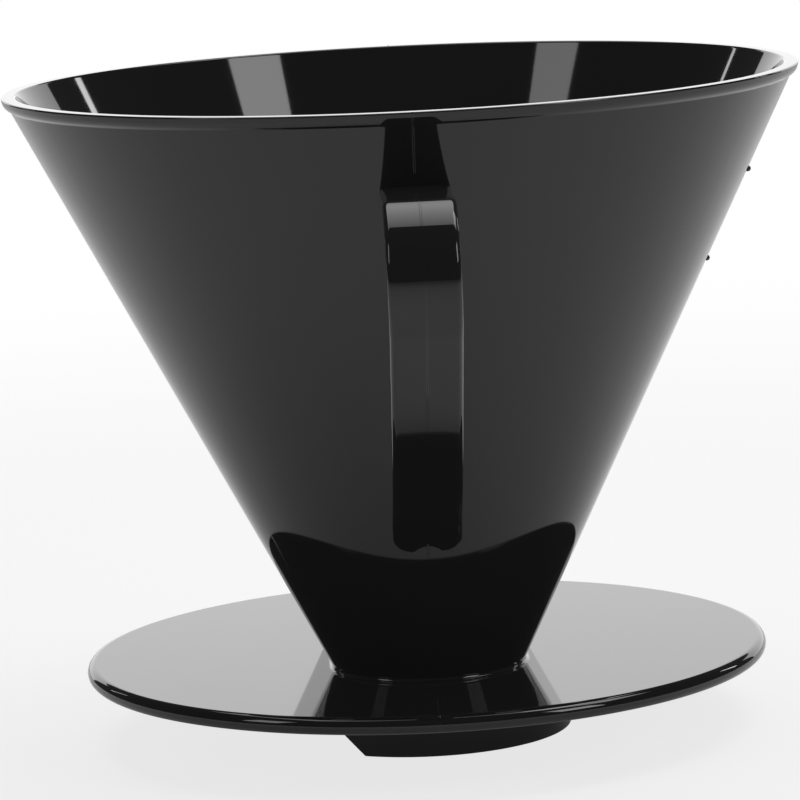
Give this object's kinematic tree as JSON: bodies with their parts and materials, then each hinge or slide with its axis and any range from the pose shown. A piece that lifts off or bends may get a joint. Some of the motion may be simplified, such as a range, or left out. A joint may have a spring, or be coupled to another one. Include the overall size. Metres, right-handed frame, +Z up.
{
  "type": "coffee filter holder",
  "caption": "One-piece moulded cone that holds a paper filter over a cup, with a round flange, a centring collar below and a strap handle.",
  "frame": {"origin": "middle of the collar's foot, on the axis of the lip, the flange and the collar, at the height of the surface that the holder stands on", "axes": "+Z up through the middle of the lip, -Y towards the handle, +X to the right seen from the handle's side"},
  "size_m": [0.1298, 0.1524, 0.1083],
  "materials": {
    "filter_holder": "glossy black moulded plastic"
  },
  "bodies": {
    "root": {"filter_holder": "filter_holder"}
  },
  "joints": []
}
